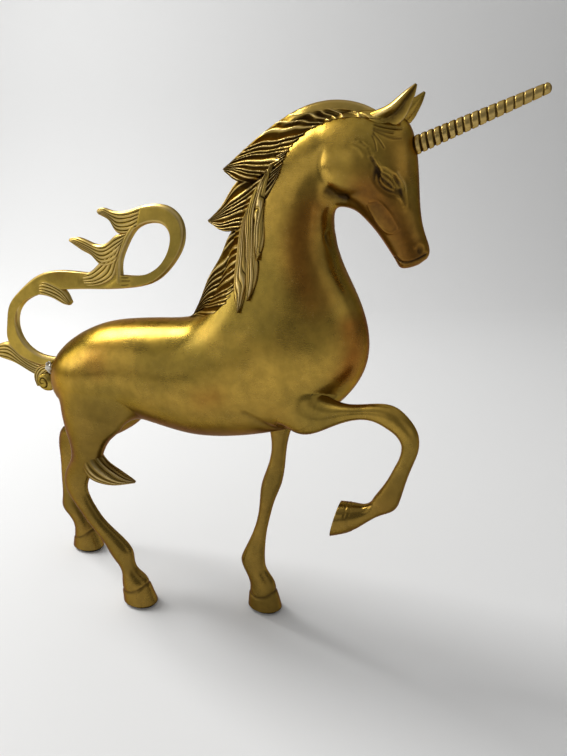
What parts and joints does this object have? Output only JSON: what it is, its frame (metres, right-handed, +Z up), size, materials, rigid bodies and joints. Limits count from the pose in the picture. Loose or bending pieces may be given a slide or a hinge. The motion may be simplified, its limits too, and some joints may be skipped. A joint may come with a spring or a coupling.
{
  "type": "unicorn figurine",
  "caption": "Cast brass unicorn ornament in a prancing pose, with spiral horn, serrated mane, looped flat tail and one raised foreleg, standing on padded hooves.",
  "frame": {"origin": "middle of the footprint box, on the surface that the figurine stands on", "axes": "+X towards the head and horn, +Y to the figure's left, +Z up"},
  "size_m": [0.3291, 0.0543, 0.3],
  "materials": {
    "body_brass": "polished, aged",
    "hair_brass": "carved, dark in the grooves",
    "horn_brass": "ribbed, dark in the grooves",
    "tail_brass": "satin, bright edges",
    "stud_steel": "plain",
    "pad_felt": "matt felt"
  },
  "bodies": {
    "root": {"body_right_shell": "body_brass", "body_left_shell": "body_brass", "mane_crest": "hair_brass", "mane_lock": "hair_brass", "horn": "horn_brass", "tail": "tail_brass", "right_foreleg": "body_brass", "left_foreleg": "body_brass", "right_hind_leg": "body_brass", "left_hind_leg": "body_brass", "horn_stud": "stud_steel", "tail_stud": "stud_steel", "leg_dowels": "stud_steel", "right_hind_pad": "pad_felt", "left_hind_pad": "pad_felt", "left_fore_pad": "pad_felt"}
  },
  "joints": []
}
